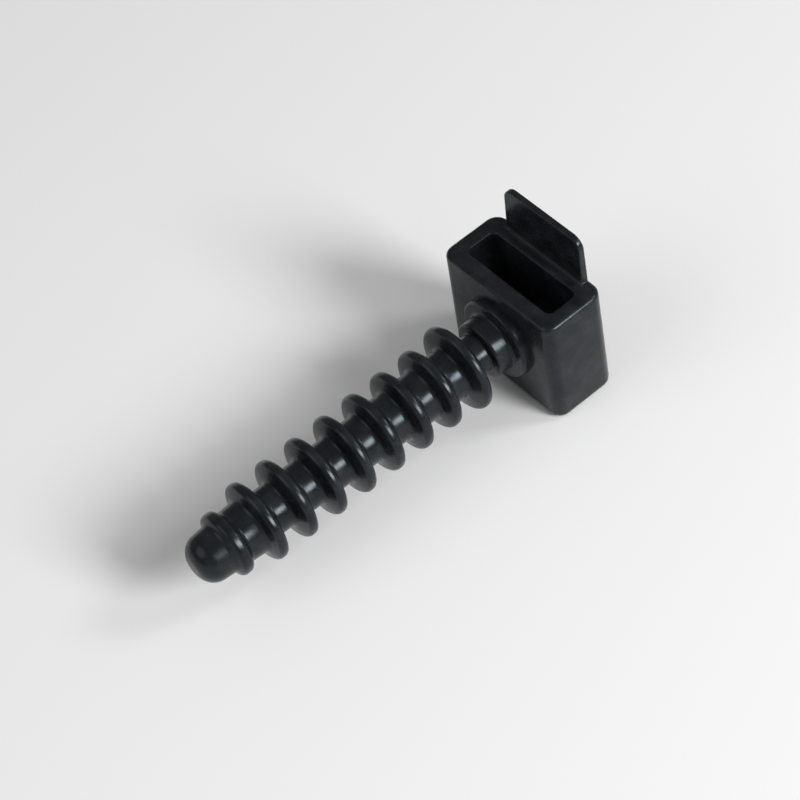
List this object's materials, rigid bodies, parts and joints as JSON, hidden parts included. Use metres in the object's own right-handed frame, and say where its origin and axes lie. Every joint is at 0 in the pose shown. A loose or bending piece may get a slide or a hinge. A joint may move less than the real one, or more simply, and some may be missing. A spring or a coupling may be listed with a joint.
{
  "type": "cable tie wall plug",
  "caption": "Ribbed moulded plug that is pushed into a drilled hole in a wall, with a block head whose slot takes a cable tie and a tab that stands behind the tied cables.",
  "frame": {"origin": "on the shank axis, in the face of the head that sits against the wall", "axes": "+X along the shank from its nose to the head, +Z along the tie slot towards the tab, Y across the head"},
  "size_m": [0.0458, 0.0158, 0.0189],
  "materials": {
    "black_nylon": "black moulded nylon, satin"
  },
  "bodies": {
    "root": {"plug_body": "black_nylon"}
  },
  "joints": []
}
